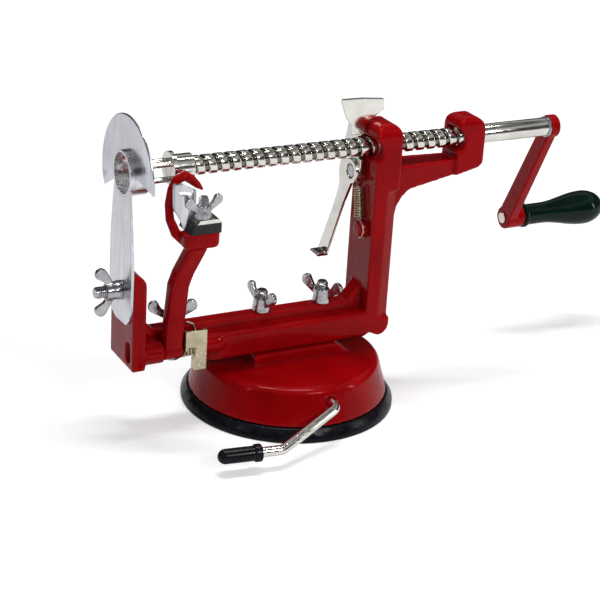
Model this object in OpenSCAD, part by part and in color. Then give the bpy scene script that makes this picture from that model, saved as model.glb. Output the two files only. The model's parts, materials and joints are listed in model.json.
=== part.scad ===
// Crank screw peeler, corer and slicer on a suction base.
// Millimetres, +Z up, table at z = 0. The origin is the centre of the suction
// base. The feed screw runs along X: crank on +X, slicing blade on -X. The
// peeling arm stands on the -Y side.

/* [Shown node] */
// Node to draw, or all

/* [Suction base] */
// Diameter of the rubber pad
pad_d = 109; // [90:1:140]
// Diameter of the cap at its bottom edge
cap_d = 102; // [84:1:132]
// Height of the flat top of the cap above the table
cap_h = 25; // [20:0.5:32]
// Wall of the cap
cap_wall = 2.5; // [2:0.5:4]
// Length of the raised seat on the cap, along X
seat_l = 46; // [44:1:60]
// Height of the raised seat
seat_h = 6; // [4:0.5:12]
// Distance between the two studs that hold the frame on the cap
stud_span = 34; // [30:1:40]
// Diameter of the studs
stud_d = 6; // [5:0.5:8]
// Diameter of the suction lever rod
lever_d = 5; // [4:0.5:6]
// Reach of the suction lever rod from its shaft to its end, along X
lever_reach = 64; // [55:1:85]

/* [Frame] */
// Height of the feed screw axis above the table
axis_h = 131; // [108:1:158]
// Width of the beam and of the tower, along Y
beam_w = 24; // [20:1:32]
// Height of the beam
beam_h = 14.5; // [12:0.5:20]
// X of the outer face of the end plate
plate_x = -92; // [-110:1:-76]
// Width of the end plate, along Y
plate_w = 29.5; // [24:0.5:36]
// Height of the top of the end plate above the table
plate_top = 84; // [78:1:92]
// X of the tower face on the side of the thread
tower_x = 37; // [30:1:45]
// Thickness of the tower, along X
tower_t = 14; // [12:1:18]
// X of the near face of the outer bearing
bearing_x = 86; // [80:1:96]
// Length of the outer bearing, along X
bearing_l = 16; // [14:1:22]

/* [Feed screw and crank] */
// Outside diameter of the thread and of the plain shank
screw_d = 9.8; // [8:0.1:12]
// Advance for one turn of the crank
pitch = 6.35; // [5:0.05:8]
// Depth of the thread
thread_depth = 1; // [0.8:0.1:1.2]
// Length of the crank between its two axes
crank_l = 69; // [55:1:85]
// Angle of the crank from straight down, towards +Y
crank_angle = 26; // [0:1:60]
// Length of the turning grip
grip_l = 53.4; // [44:0.2:70]
// Largest diameter of the grip
grip_d = 19; // [16:0.5:24]
// Number of prongs on the drive fork
prongs = 3; // [3:1:4]

/* [Peeling arm] */
// Y of the arm pivot
pivot_y = -9.2; // [-12:0.1:-9.2]
// Height of the arm pivot above the underside of the beam
pivot_up = 9.5; // [8:0.5:12]
// Diameter of the arm pivot pin
pin_d = 5; // [4:0.5:6]
// Height of the top of the arm head above the table
head_z = 107; // [98:1:112]

/* [Blades] */
// Inside diameter of the coring ring
core_d = 19.6; // [18:0.2:24]
// Outside radius of the slicing disc
slice_r = 28; // [22:1:34]
// Thickness of the blade steel
blade_t = 1.4; // [1:0.1:2]

/* [Release lever] */
// Y of the release lever pivot
rel_y = 5; // [4:0.5:7]
// Height of the release lever pivot below the screw axis
rel_drop = 14; // [13:0.5:17]
// Width of the thumb paddle, along X
paddle_w = 24.6; // [18:0.2:30]

/* [Clearances] */
// Radial clearance of a turning or sliding fit
run_fit = 0.06; // [0.02:0.01:0.1]
// Radial clearance of a bolt in its hole
bolt_fit = 0.15; // [0.1:0.05:0.3]
// Gap left around rubber and springs
soft_gap = 0.3; // [0.3:0.1:0.5]

/* [Hidden] */
$fn = 64;
eps = 0.01;

// ---- suction base
pad_r = pad_d / 2;
pad_lip = 2.5;
cap_r = cap_d / 2;
cap_bottom = 6.9;
cap_top_r = cap_r - 4.3;
cap_round = 3.6;
cap_in = cap_h - cap_wall;
seat_left = -24.5;
seat_right = seat_left + seat_l;
seat_slope = 7;
lever_x = 0;
lever_z = cap_h - 7;
lever_inner_y = 17;
lever_elbow_y = -(pad_r - 0.5);
lever_out_y = lever_elbow_y - 14.6;
lever_low_z = 9;
cam_r = 4.5;
cam_offset = 1.3;
cam_phase = 10;
cam_l = 10;
yoke_wall = 1.8;
yoke_w = 6;
yoke_play = 0.3;
cam_z = lever_z + cam_offset * cos(cam_phase);
yoke_top = cam_z + cam_r + yoke_play + yoke_wall;
yoke_bottom = cam_z - cam_r - yoke_play - yoke_wall;
yoke_half = cam_r + cam_offset + yoke_play + yoke_wall;
pocket_half = stud_span / 2 - stud_d - 0.5;
stem_drop = 2 * cam_offset * cos(cam_phase);
foot_r = 6;
foot_top = 8.2;
foot_t = 1.6;
stem_r = 3;
sleeve_d = 7.4;
sleeve_l = 19;

// ---- frame casting
beam_z = cap_h + seat_h;
beam_top = beam_z + beam_h;
rib_h = 4.5;
rib_w = 9;
rib_top = beam_top + rib_h;
rail_z = beam_z + 3;
beam_right = tower_x + tower_t;
beam_edge = 2.5;
plate_t = 7;
plate_in = plate_x + plate_t;
beam_left = plate_in + 41;
pivot_z = beam_z + pivot_up;
plate_round = 6.5;
gusset = 9;
arm_boss_r = 4.5;
end_boss_l = 10;
pin_boss_r = 5.2;
pin_boss_l = 9;
pin_boss_x = beam_left - pin_boss_l;
head_up = 13;
head_round = 5;
mouth_r = screw_d / 2 + 1.6;
mouth_wall = 4;
bar_w = 18;
bar_end_w = 11;
bar_top = axis_h - 10;
bar_low = axis_h - 21;
bearing_low = axis_h - 18.6;
bearing_up = 11.8;
bar_deep = 3.4;
nose_l = 8;
bearing_w = 16;
bearing_right = bearing_x + bearing_l;
tower_bevel = 7;
tower_bevel_in = 3.5;
peg_r = 4.2;
peg_l = 4;
peg_y = -2.6;
peg_z = axis_h - rel_drop - 28.6;

// ---- feed screw and crank
screw_r = screw_d / 2;
core_r = screw_r - thread_depth;
fork_left = plate_x + 22;
fork_right = fork_left + 11.5;
thread_left = fork_right + 0.5;
thread_right = bearing_x + 2.5;
thread_crest = 3.5;
thread_root = 4.3;
crank_x = 144.4;
crank_t = 5.2;
crank_hub_r = screw_r + 1.1;
crank_boss_r = 6.2;
crank_boss_l = 11;
crank_bar_w = 10.5;
crank_bar_hub_w = 8.6;
end_r = screw_r - 0.9;
pin_r = 2.2;
pin_head_r = 3;
pin_head_t = 1;
grip_y = crank_l * sin(crank_angle);
grip_z = axis_h - crank_l * cos(crank_angle);
grip_x = crank_x + crank_boss_l + 0.4;
washer_t = 1.5;
washer_r = screw_r + 0.6;
fork_hub_r = core_r + 2.5;
fork_flange_r = core_r + 4.3;
fork_flange_t = 2.2;
prong_circle = 5.4;
prong_r = 1.4;
prong_l = 21;

// ---- blades and peeling arm
blade_x = plate_x - blade_t;
blade_bolt_z = plate_top - 12;
bolt_r = stud_d / 2;
core_r_in = core_d / 2;
core_t = 1.3;
core_l = 10;
arm_left = plate_in + end_boss_l + 0.5;
arm_w = 9.5;
arm_right = arm_left + arm_w;
stop_x = plate_in + 19.5;
catch_t = 1.2;
catch_left = arm_right + 0.4;
catch_right = pin_boss_x - 0.4;
wire_d = 1.1;
coil_r = -rib_w / 2 - soft_gap - wire_d / 2 - pivot_y;
coil_turns = 4.5;
coil_leg = 7;
screw_arm_x = arm_left + 12.5;
screw_arm_y = -24;
arm_head_h = 8;
arm_corner = 2.8;
holder_t = 5;
holder_back = 10.5;
holder_front = 4.2;
holder_left = 7.6;
holder_right = 7.8;
clamp_left = 4.6;
gouge_x = screw_arm_x - 6.6;
gouge_y = -16;
gouge_r = 5.9;
strip_t = 0.9;
clamp_t = 2;
clamp_d = 5;
stud_in = 7;

// ---- release lever
rel_z = axis_h - rel_drop;
rel_t = 1.8;
throat_back = 13.5;
rel_x = tower_x - 3;
rel_pin_r = 2.5;
rel_head_r = 3.2;
rel_head_t = 1.2;
eye_r = 6.4;
eye_in_r = 3.8;
eye_t = 1.8;
release_wire = 0.9;
release_coil_r = 1.8;
release_turns = 9;
paddle_low = axis_h + 13;
paddle_y = 1.2;
paddle_high = axis_h + 24.4;

// ================= helpers =================

// Point on a circle in a plane.
function polar(r, a) = [r * cos(a), r * sin(a)];

// Points of an arc about a centre.
function arc(centre, r, from, to, steps = 8) =
  [for (i = [0 : steps]) centre + polar(r, from + (to - from) * i / steps)];

// Unit vector along v.
function unit(v) = v / norm(v);

// Places its children at p with their +Z pointing to q.
module along(p, q) {
  v = unit(q - p);
  translate(p)
    rotate([0, acos(v[2]), atan2(v[1], v[0])])
      children();
}

// Cylinder between two points, with a ball at both ends if asked.
module rod(p, q, d, balls = false) {
  along(p, q) cylinder(d = d, h = norm(q - p));
  if (balls) {
    translate(p) sphere(d = d + 0.06);
    translate(q) sphere(d = d + 0.06);
  }
}

// Cylinder along X from x0 to x1, about an axis at y, z.
module x_cyl(x0, x1, r, y = 0, z = 0, r2 = -1) {
  translate([x0, y, z])
    rotate([0, 90, 0])
      cylinder(r1 = r, r2 = r2 < 0 ? r : r2, h = x1 - x0);
}

// Cylinder along Y from y0 to y1, about an axis at x, z.
module y_cyl(y0, y1, r, x = 0, z = 0) {
  translate([x, y1, z])
    rotate([90, 0, 0])
      cylinder(r = r, h = y1 - y0);
}

// Box given by its lowest and highest corners.
module box(low, high) {
  translate(low) cube(high - low);
}

// Flat shape drawn in X and Z, drawn out along Y between y0 and y1.
module xz_plate(y0, y1) {
  translate([0, y1, 0])
    rotate([90, 0, 0])
      linear_extrude(y1 - y0) children();
}

// Flat shape drawn in Y and Z, drawn out along X between x0 and x1.
module yz_plate(x0, x1) {
  translate([x0, 0, 0])
    rotate([90, 0, 90])
      linear_extrude(x1 - x0) children();
}

// Solid swept through rings of points, closed flat at both ends.
module sweep(rings) {
  n = len(rings[0]);
  m = len(rings);
  sides = [
    for (i = [0 : m - 2], j = [0 : n - 1])
      let (a = i * n + j, b = i * n + (j + 1) % n)
      each [[a, b, b + n], [a, b + n, a + n]]
  ];
  first = [[for (j = [n - 1 : -1 : 0]) j]];
  last = [[for (j = [0 : n - 1]) (m - 1) * n + j]];
  points = [for (r = rings, p = r) p];
  polyhedron(points = points, faces = concat(sides, first, last), convexity = 8);
}

// Round wire along a path. Each ring keeps the turn of the one before it.
// The diameters at the points may be given as a list.
module wire(path, d, sides = 6) {
  r = [for (i = [0 : len(path) - 1]) (is_list(d) ? d[i] : d) / 2];
  n = len(path);
  t = [for (i = [0 : n - 1]) unit(path[min(i + 1, n - 1)] - path[max(i - 1, 0)])];
  start = unit(cross(t[0], abs(t[0][2]) < 0.9 ? [0, 0, 1] : [1, 0, 0]));
  u = [
    for (i = 0, w = start; i < n;
         i = i + 1, w = i < n ? unit(w - (w * t[i]) * t[i]) : w) w
  ];
  sweep([
    for (i = [0 : n - 1])
      [for (k = [0 : sides - 1])
        path[i] + r[i] * (u[i] * cos(360 * k / sides)
          - cross(t[i], u[i]) * sin(360 * k / sides))]
  ]);
}

// Least gap between turns of a wire, measured on points half a turn or more apart.
function self_gap(path, d) =
  min([
    for (i = [0 : len(path) - 5], j = [i + 4 : len(path) - 1])
      norm(path[i] - path[j])
  ]) - d;

// Screw bolt along +Z: round head below z = 0, shank above.
module bolt(d, l, head_d, head_t) {
  cylinder(d = d, h = l);
  translate([0, 0, -head_t]) cylinder(d1 = head_d * 0.7, d2 = head_d, h = head_t);
}

// One wing of a wing nut, drawn in the plane of its face.
module wing_face() {
  polygon(concat(
    [[2.6, 1.2], [4.4, 3.4]],
    arc([9.2, 9.6], 3.1, -55, 120, 8),
    [[5.4, 8.4], [3.4, 7]]
  ));
}

// Wing nut standing on z = 0, wings along X, bored for a bolt.
module wing_nut(d) {
  difference() {
    scale(d / 6) {
      cylinder(r1 = 4.9, r2 = 3.9, h = 7.4);
      for (side = [0, 180])
        rotate([90, 0, side])
          translate([0, 0, -1.1])
            linear_extrude(2.2) wing_face();
    }
    translate([0, 0, -1]) cylinder(d = d + 2 * bolt_fit, h = 12);
  }
}

// ================= suction base =================

module suction_pad() {
  neck = foot_top + 1.2;
  color("dimgray")
    difference() {
      rotate_extrude()
        polygon([
          [0, 0], [pad_r, 0], [pad_r, pad_lip],
          [cap_r + 0.6, cap_bottom - soft_gap], [cap_r - 6, cap_bottom - soft_gap],
          [cap_r - 9, 4.2], [foot_r + 8, 4.2], [foot_r + 3, 5.6], [foot_r + 3, neck], [0, neck]
        ]);
      for (inset = [9, 16])
        rotate_extrude()
          translate([pad_r - inset, -1]) square([2.4, 1.8]);
      translate([0, 0, foot_top - foot_t - stem_drop - soft_gap])
        cylinder(r = foot_r + soft_gap, h = foot_t + stem_drop + 2 * soft_gap);
      translate([0, 0, foot_top]) cylinder(r = stem_r + soft_gap, h = 8);
    }
}

// Outline of the cap in radius and height, moved inwards by inset.
function cap_outline(inset) =
  let (
    top = cap_h - inset,
    centre = [cap_top_r - cap_round - inset * 0.5, top - cap_round]
  )
  concat(
    [[0, cap_bottom - (inset > 0 ? 1 : 0)], [cap_r - inset, cap_bottom - (inset > 0 ? 1 : 0)]],
    arc(centre, cap_round, 15, 90, 5),
    [[0, top]]
  );

module base_cap() {
  color("crimson")
    difference() {
      union() {
        difference() {
          rotate_extrude() polygon(cap_outline(0));
          rotate_extrude() polygon(cap_outline(cap_wall));
        }
        seat();
        for (side = [-1, 1])
          translate([side * stud_span / 2, 0, cap_in - 4])
            cylinder(r = stud_d, h = 4 + eps);
        for (y = [-30, lever_inner_y - 6])
          box([lever_x - 5, y, lever_z - 5], [lever_x + 5, y + 6, cap_in + eps]);
      }
      box([-pocket_half, -beam_w / 2 + cap_wall, cap_in - 1],
          [pocket_half, beam_w / 2 - cap_wall, beam_z - cap_wall]);
      for (side = [-1, 1])
        translate([side * stud_span / 2, 0, cap_in - 6])
          cylinder(d = stud_d + 2 * bolt_fit, h = seat_h + 12);
      y_cyl(-cap_r - 2, lever_inner_y + 1, lever_d / 2 + run_fit, lever_x, lever_z);
    }
}

// Raised block on the cap that carries the beam.
module seat() {
  xz_plate(-beam_w / 2, beam_w / 2)
    polygon([
      [seat_left - 1, cap_in], [seat_left - 1, cap_h], [seat_left, beam_z],
      [seat_right, beam_z], [seat_right + seat_slope, cap_h], [seat_right + seat_slope, cap_in]
    ]);
}

module base_studs() {
  color("silver")
    for (side = [-1, 1])
      translate([side * stud_span / 2, 0, cap_in - 4])
        bolt(stud_d, rib_top + 11.5 - cap_in + 4, 11, 3);
}

module base_wing_nuts() {
  color("silver")
    for (nut = [[-1, 97], [1, 117]])
      translate([nut[0] * stud_span / 2, 0, rib_top])
        rotate([0, 0, nut[1]])
          wing_nut(stud_d);
}

function lever_points() = [
  [lever_x, lever_elbow_y, lever_z],
  [lever_x - 0.57 * lever_reach, lever_out_y, lever_low_z],
  [lever_x - lever_reach, lever_out_y + 3.6, lever_low_z]
];

module lever_rod() {
  p = lever_points();
  color("silver") {
    y_cyl(lever_elbow_y, lever_inner_y, lever_d / 2, lever_x, lever_z);
    rod(p[0], p[1], lever_d, true);
    rod(p[1], p[2], lever_d);
  }
}

module lever_sleeve() {
  p = lever_points();
  r = sleeve_d / 2;
  bore = lever_d / 2 + soft_gap;
  color("black")
    along(p[2], p[1])
      rotate_extrude()
        polygon(concat(
          arc([0, -1], r, -90, 0, 8),
          [[r, sleeve_l - 6], [r + 0.7, sleeve_l - 5.4], [r + 0.7, sleeve_l - 2.6],
           [r, sleeve_l - 2], [bore, sleeve_l - 2], [bore, -soft_gap], [0, -soft_gap]]
        ));
}

module lever_cam() {
  color("silver")
    difference() {
      y_cyl(-cam_l / 2, cam_l / 2, cam_r,
            lever_x + cam_offset * sin(cam_phase), cam_z);
      y_cyl(-cam_l, cam_l, lever_d / 2, lever_x, lever_z);
    }
}

module suction_stem() {
  color("silver") {
    difference() {
      box([lever_x - yoke_half, -yoke_w / 2, yoke_bottom],
          [lever_x + yoke_half, yoke_w / 2, yoke_top]);
      box([lever_x - yoke_half + yoke_wall, -yoke_w, yoke_bottom + yoke_wall],
          [lever_x + yoke_half - yoke_wall, yoke_w, yoke_top - yoke_wall]);
    }
    translate([0, 0, foot_top - foot_t]) cylinder(r = foot_r, h = foot_t);
    translate([0, 0, foot_top - eps]) cylinder(r = stem_r, h = yoke_bottom - foot_top + 2 * eps);
  }
}

// ================= frame casting =================

// Cross-section of the beam, in Y and Z.
module beam_section() {
  half = beam_w / 2;
  polygon([
    [-half + beam_edge, beam_z], [half - beam_edge, beam_z],
    [half, beam_z + beam_edge], [half, beam_top - 1], [half - 1, beam_top],
    [-half + 1, beam_top], [-half, beam_top - 1], [-half, beam_z + beam_edge]
  ]);
}

// Pointed end of the beam, from its full width to the width of the rib.
module beam_nose() {
  intersection() {
    yz_plate(beam_left - nose_l, beam_left + 1) beam_section();
    linear_extrude(beam_top)
      polygon([
        [beam_left - nose_l, -rib_w / 2], [beam_left, -beam_w / 2], [beam_left + 2, -beam_w / 2],
        [beam_left + 2, beam_w / 2], [beam_left, beam_w / 2], [beam_left - nose_l, rib_w / 2]
      ]);
  }
}

module end_plate() {
  xz_plate(-plate_w / 2, plate_w / 2)
    polygon(concat(
      [[plate_x, rail_z], [plate_in, rail_z]],
      arc([plate_in - plate_round, plate_top - plate_round], plate_round, 0, 90, 6),
      [[plate_x, plate_top]]
    ));
}

module tower() {
  half = beam_w / 2;
  difference() {
    xz_plate(-half, half)
      polygon(concat(
        [[tower_x, beam_z + 4], [beam_right - 6, beam_z + 0.5]],
        arc([beam_right - 6, beam_z + 6.5], 6, -80, 0, 5),
        arc([beam_right - head_round, axis_h + head_up - head_round], head_round, 0, 90, 6),
        arc([tower_x + head_round, axis_h + head_up - head_round], head_round, 90, 180, 6)
      ));
    for (side = [-1, 1])
      tower_bevel_cut(side);
    head_corners(tower_x, beam_right, half, axis_h + head_up);
  }
}

// Slanted cut along the outer edge of the tower, below the extension bar.
module tower_bevel_cut(side) {
  translate([0, 0, beam_top - 4])
    linear_extrude(bar_low - beam_top + 4)
      polygon([
        [beam_right - tower_bevel, side * beam_w / 2],
        [beam_right + 1, side * (beam_w / 2 - tower_bevel_in)],
        [beam_right + 1, side * (beam_w / 2 + 1)],
        [beam_right - tower_bevel, side * (beam_w / 2 + 1)]
      ]);
}

// Rounds the top corners of a bearing head, seen along X.
module head_corners(x0, x1, half, top) {
  round_r = half * 0.55;
  for (side = [-1, 1])
    yz_plate(x0 - 1, x1 + 1)
      polygon(concat(
        [[side * (half + 1), top + 1], [side * (half - round_r), top + 1]],
        [for (a = [90 : -15 : 0])
          [side * (half - round_r + round_r * cos(a)), top - round_r + round_r * sin(a)]],
        [[side * (half + 1), top - round_r]]
      ));
}

module extension_bar() {
  difference() {
    xz_plate(-bar_w / 2, bar_w / 2)
      polygon([
        [tower_x + 4, bar_low - 14], [beam_right, bar_low - 14], [beam_right + 1.2, bar_low - 9],
        [beam_right + 3.8, bar_low - bar_deep - 1.4], [beam_right + 8, bar_low - bar_deep + 1.8],
        [bearing_x + 4, bearing_low + 0.6], [bearing_x + 4, bar_top], [tower_x + 4, bar_top]
      ]);
    for (side = [-1, 1])
      linear_extrude(axis_h)
        polygon([
          [beam_right + 2, side * bar_w / 2], [bearing_x + 5, side * bar_end_w / 2],
          [bearing_x + 5, side * bar_w], [beam_right + 2, side * bar_w]
        ]);
  }
}

module outer_bearing() {
  half = bearing_w / 2;
  top = axis_h + bearing_up;
  difference() {
    xz_plate(-half, half)
      polygon(concat(
        [[bearing_x, bearing_low], [bearing_right - 2.5, bearing_low + 3.2],
         [bearing_right, bearing_low + 5.6]],
        arc([bearing_right - 7.5, top - 7.5], 7.5, 0, 90, 8),
        arc([bearing_x + 6, top - 6], 6, 90, 180, 8)
      ));
    head_corners(bearing_x, bearing_right, half, top);
  }
}

module frame_casting() {
  half = beam_w / 2;
  color("crimson")
    difference() {
      union() {
        yz_plate(beam_left, tower_x + 2) beam_section();
        beam_nose();
        box([plate_in - 1, -rib_w / 2, rail_z], [beam_left + 1, rib_w / 2, rib_top]);
        box([beam_left, -rib_w / 2, beam_top - 1], [tower_x + 1, rib_w / 2, rib_top]);
        gussets();
        end_plate();
        x_cyl(plate_in - 1, plate_in + end_boss_l, arm_boss_r + 1, pivot_y, pivot_z);
        x_cyl(pin_boss_x, beam_left + 1, pin_boss_r, pivot_y + 1.5, pivot_z);
        tower();
        extension_bar();
        outer_bearing();
        x_cyl(tower_x - peg_l, tower_x + 1, peg_r, peg_y, peg_z);
      }
      // bores for the feed screw and its open mouths
      x_cyl(tower_x - 1, bearing_right + 1, screw_r + run_fit, 0, axis_h);
      for (x = [tower_x - 3, bearing_x - 2])
        y_cyl(-half - 1, bearing_w / 2 - mouth_wall, mouth_r, x, axis_h);
      // holes for studs, bolts and pins
      for (x = [-stud_span / 2, stud_span / 2, stop_x])
        translate([x, 0, beam_z - 1])
          cylinder(d = stud_d + 2 * bolt_fit, h = rib_top - beam_z + 2);
      x_cyl(plate_x - 1, plate_in + 1, bolt_r + bolt_fit, 0, blade_bolt_z);
      x_cyl(plate_x + 2, pin_boss_x + 7, pin_d / 2 + bolt_fit, pivot_y, pivot_z);
      x_cyl(tower_x - 1, tower_x + 9, rel_pin_r, rel_y, rel_z);
      pin_recess();
    }
}

// Triangles between the rib and the two uprights.
module gussets() {
  xz_plate(-rib_w / 2, rib_w / 2) {
    polygon([[tower_x - gusset, rib_top - 1], [tower_x + 1, rib_top - 1],
             [tower_x + 1, rib_top + gusset], [tower_x, rib_top + gusset]]);
    polygon([[plate_in + gusset, rib_top - 1], [plate_in - 1, rib_top - 1],
             [plate_in - 1, rib_top + gusset], [plate_in, rib_top + gusset]]);
  }
}

// Oblong recess in the end plate over the end of the pivot pin.
module pin_recess() {
  depth = 2.5;
  for (z = [pivot_z - 1, pivot_z + 4.5])
    x_cyl(plate_x - 1, plate_x + depth, 2.6, pivot_y + 1, z);
  box([plate_x - 1, pivot_y - 1.6, pivot_z - 1],
      [plate_x + depth, pivot_y + 3.6, pivot_z + 4.5]);
}

// ================= slicing and coring blade =================

module blade_stem() {
  color("lightgray")
    difference() {
      yz_plate(blade_x, plate_x)
        polygon([
          [4.7, 56.1], [-8.5, 56.9], [-12, 60.5], [-14.2, 67], [-14.6, plate_top + 2],
          [-14, plate_top + 10], [-10.5, axis_h - 12], [-8.6, axis_h], [8.6, axis_h],
          [10.5, axis_h - 12], [13.4, plate_top + 10], [13.4, 72], [12.4, 64], [10.7, 58.4]
        ]);
      x_cyl(blade_x - 1, plate_x + 1, bolt_r + bolt_fit, 0, blade_bolt_z);
      x_cyl(blade_x - 1, plate_x + 1, core_r_in + core_t, 0, axis_h);
    }
}

module coring_ring() {
  color("lightgray")
    difference() {
      x_cyl(blade_x, blade_x + core_l, core_r_in + core_t, 0, axis_h);
      x_cyl(blade_x - 1, blade_x + core_l - 2.5, core_r_in, 0, axis_h);
      x_cyl(blade_x + core_l - 2.6, blade_x + core_l + eps, core_r_in, 0, axis_h,
            core_r_in + core_t - 0.2);
    }
}

// Helical cutting plate around the ring: it climbs one pitch in a full turn.
module slicing_disc() {
  inner = core_r_in + core_t + eps;
  span = 215;
  steps = 40;
  start = -30;
  t = blade_t * 0.8;
  color("lightgray")
    translate([blade_x + t / 2, 0, axis_h])
      sweep([
        for (i = [0 : steps])
          let (
            a = start + span * i / steps,
            x = pitch * i / steps * span / 360,
            fade = min(1, i / 6),
            edge = t * (0.12 + 0.88 * fade)
          )
          [
            [x - edge / 2, inner * cos(a), inner * sin(a)],
            [x - edge / 2, slice_r * cos(a), slice_r * sin(a)],
            [x + edge / 2, slice_r * cos(a), slice_r * sin(a)],
            [x + edge / 2, inner * cos(a), inner * sin(a)]
          ]
      ]);
}

module blade_bolt() {
  color("silver")
    translate([plate_in, 0, blade_bolt_z])
      rotate([0, -90, 0])
        bolt(stud_d, plate_t + blade_t + 13, 11, 3);
}

module blade_wing_nut() {
  color("silver")
    translate([blade_x, 0, blade_bolt_z])
      rotate([0, -90, 0])
        wing_nut(stud_d);
}

// ================= peeling arm =================

module arm_pivot_pin() {
  color("silver")
    x_cyl(plate_x + 2.5, pin_boss_x + 7, pin_d / 2, pivot_y, pivot_z);
}

// Point of the torsion spring's coil after i eighths of a turn.
function coil_point(i) =
  let (
    left = catch_left + catch_t + soft_gap + wire_d / 2,
    right = catch_right - catch_t - soft_gap - wire_d / 2
  )
  [left + (right - left) * i / (8 * coil_turns),
   pivot_y - coil_r * cos(45 * i), pivot_z - coil_r * sin(45 * i)];

// Path of the spring round the pivot pin: both legs stand up, one along the
// arm and one along the rail, where it ends in a hook.
function arm_spring_path() =
  let (n = 8 * coil_turns, up = [0, 0, 1])
  concat(
    [coil_point(0) + up * coil_leg, coil_point(0) + up * wire_d],
    [for (i = [0 : n]) coil_point(i)],
    [coil_point(n) + up * wire_d, coil_point(n) + up * coil_leg,
     coil_point(n) + [-1.4, -0.5, coil_leg + 3.4], coil_point(n) + [-4.6, -1, coil_leg + 5.4]]
  );

module arm_spring() {
  echo("least gap of the arm spring to itself, mm", self_gap(arm_spring_path(), wire_d));
  color("khaki") wire(arm_spring_path(), wire_d);
}

// Folded bracket on the pivot pin: a block in front of two cheeks, and a
// finger tab with one edge folded back.
module arm_catch() {
  hole = pin_d / 2 + run_fit;
  front = pivot_y - 6.2;
  top = pivot_z + 11;
  tab_low = pivot_z - 10;
  tab_left = catch_right - 6;
  color("gainsboro")
    difference() {
      union() {
        for (x = [catch_left, catch_right - catch_t])
          yz_plate(x, x + catch_t) {
            circle_at = [pivot_y, pivot_z];
            translate(circle_at) circle(r = 4.4);
            polygon([
              circle_at + [-4.2, -1.4], [front, pivot_z + 1], [front, top],
              [front + 2.4, top], circle_at + [2.6, 3.5]
            ]);
          }
        box([catch_left, front, pivot_z + 2.4], [catch_right, front + catch_t, top]);
        box([tab_left, front, tab_low], [catch_right, front + catch_t, pivot_z + 3]);
        box([tab_left, front, tab_low], [tab_left + catch_t, front + 5, pivot_z + 1]);
      }
      x_cyl(catch_left - 1, catch_right + 1, hole, pivot_y, pivot_z);
      // room for the coil
      x_cyl(catch_left + catch_t, catch_right - catch_t, coil_r + wire_d / 2 + soft_gap,
            pivot_y, pivot_z);
    }
}

module arm_stop_bolt() {
  color("silver")
    translate([stop_x, 0, rail_z])
      bolt(stud_d, rib_top - rail_z + 11.5, 10, 2.6);
}

module arm_stop_wing_nut() {
  color("silver")
    translate([stop_x, 0, rib_top])
      rotate([0, 0, -13])
        wing_nut(stud_d);
}

// Four small balls at the corners of the arm's section: half sizes in X and Y.
module arm_station(centre, half_x, half_y, r = 2) {
  for (sx = [-1, 1], sy = [-1, 1])
    translate(centre + [sx * (half_x - r), sy * (half_y - r), 0])
      sphere(r = r, $fn = 16);
}

module peeler_arm() {
  mid = (arm_left + arm_right) / 2;
  spine = [
    [mid, pivot_y - 0.4, pivot_z + 3],
    [mid - 0.2, pivot_y - 3.2, pivot_z + 19],
    [mid, pivot_y - 6, pivot_z + 37],
    [mid + 1.4, pivot_y - 8.2, pivot_z + 44.5],
    [mid + 5.9, pivot_y - 12, head_z - 9]
  ];
  color("crimson")
    difference() {
      union() {
        x_cyl(arm_left, arm_right, arm_boss_r, pivot_y, pivot_z);
        for (i = [0 : len(spine) - 2])
          hull() {
            arm_station(spine[i], arm_w / 2, 4);
            arm_station(spine[i + 1], arm_w / 2, 4);
          }
        arm_head();
        arm_horn();
      }
      x_cyl(arm_left - 1, arm_right + 1, pin_d / 2 + run_fit, pivot_y, pivot_z);
      translate([screw_arm_x, screw_arm_y, head_z - stud_in])
        cylinder(d = clamp_d + 2 * bolt_fit, h = stud_in + 1);
    }
}

// Cross bar on top of the arm.
module arm_head() {
  hull()
    for (x = [-7.5, 5], y = [-1.6, 1.6])
      translate([screw_arm_x + x, screw_arm_y + y, head_z - arm_head_h]) {
        translate([0, 0, arm_corner]) sphere(r = arm_corner, $fn = 20);
        translate([0, 0, arm_head_h - 1]) cylinder(r = arm_corner, h = 1, $fn = 20);
      }
}

// Curved claw beside the blade, bent over it and pointed at the end.
module arm_horn() {
  head = [screw_arm_x, screw_arm_y, head_z];
  wire(
    [head + [-6.5, 2.6, -6], head + [-11.4, 5.5, -1.5], head + [-12.7, 9.6, 4],
     head + [-12.8, 11.2, 11], head + [-11.6, 11.2, 18], head + [-9.2, 11.2, 22.4],
     head + [-5.4, 11.2, 24.2], head + [-1.8, 11.2, 22.2], head + [1.6, 11.2, 19],
     head + [4.4, 11.2, 16.4]],
    [5.6, 5, 4.4, 4, 4.2, 4.8, 5, 4.8, 3.6, 1.2],
    sides = 12
  );
}

module blade_holder() {
  left = screw_arm_x - holder_left;
  right = screw_arm_x + holder_right;
  color("black")
    difference() {
      xz_plate(screw_arm_y - holder_front, screw_arm_y + holder_back)
        polygon([
          [left, head_z], [right, head_z],
          [right, head_z + holder_t], [left + 1.8, head_z + holder_t]
        ]);
      translate([screw_arm_x, screw_arm_y, head_z - 1])
        cylinder(d = clamp_d + 2 * bolt_fit, h = holder_t + 2);
    }
}

// Outline of the peeling blade seen along Y: foot, broad leaf and cut tip.
function blade_leaf() =
  let (foot = [screw_arm_x - 8.4, head_z], tip = [gouge_x - gouge_r, head_z + 22])
  concat(
    [foot + [0, 0.2], foot + [2.1, holder_t + 0.4], foot + [3.2, holder_t + clamp_t + 0.4],
     [gouge_x + gouge_r - 1, head_z + 9.4]],
    arc([gouge_x - 0.6, head_z + 14.5], gouge_r + 1, -35, 75, 8),
    [tip + [3, 1.6], tip, tip + [-1, -6], tip + [0.2, -12], foot + [-1.2, 4]]
  );

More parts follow.
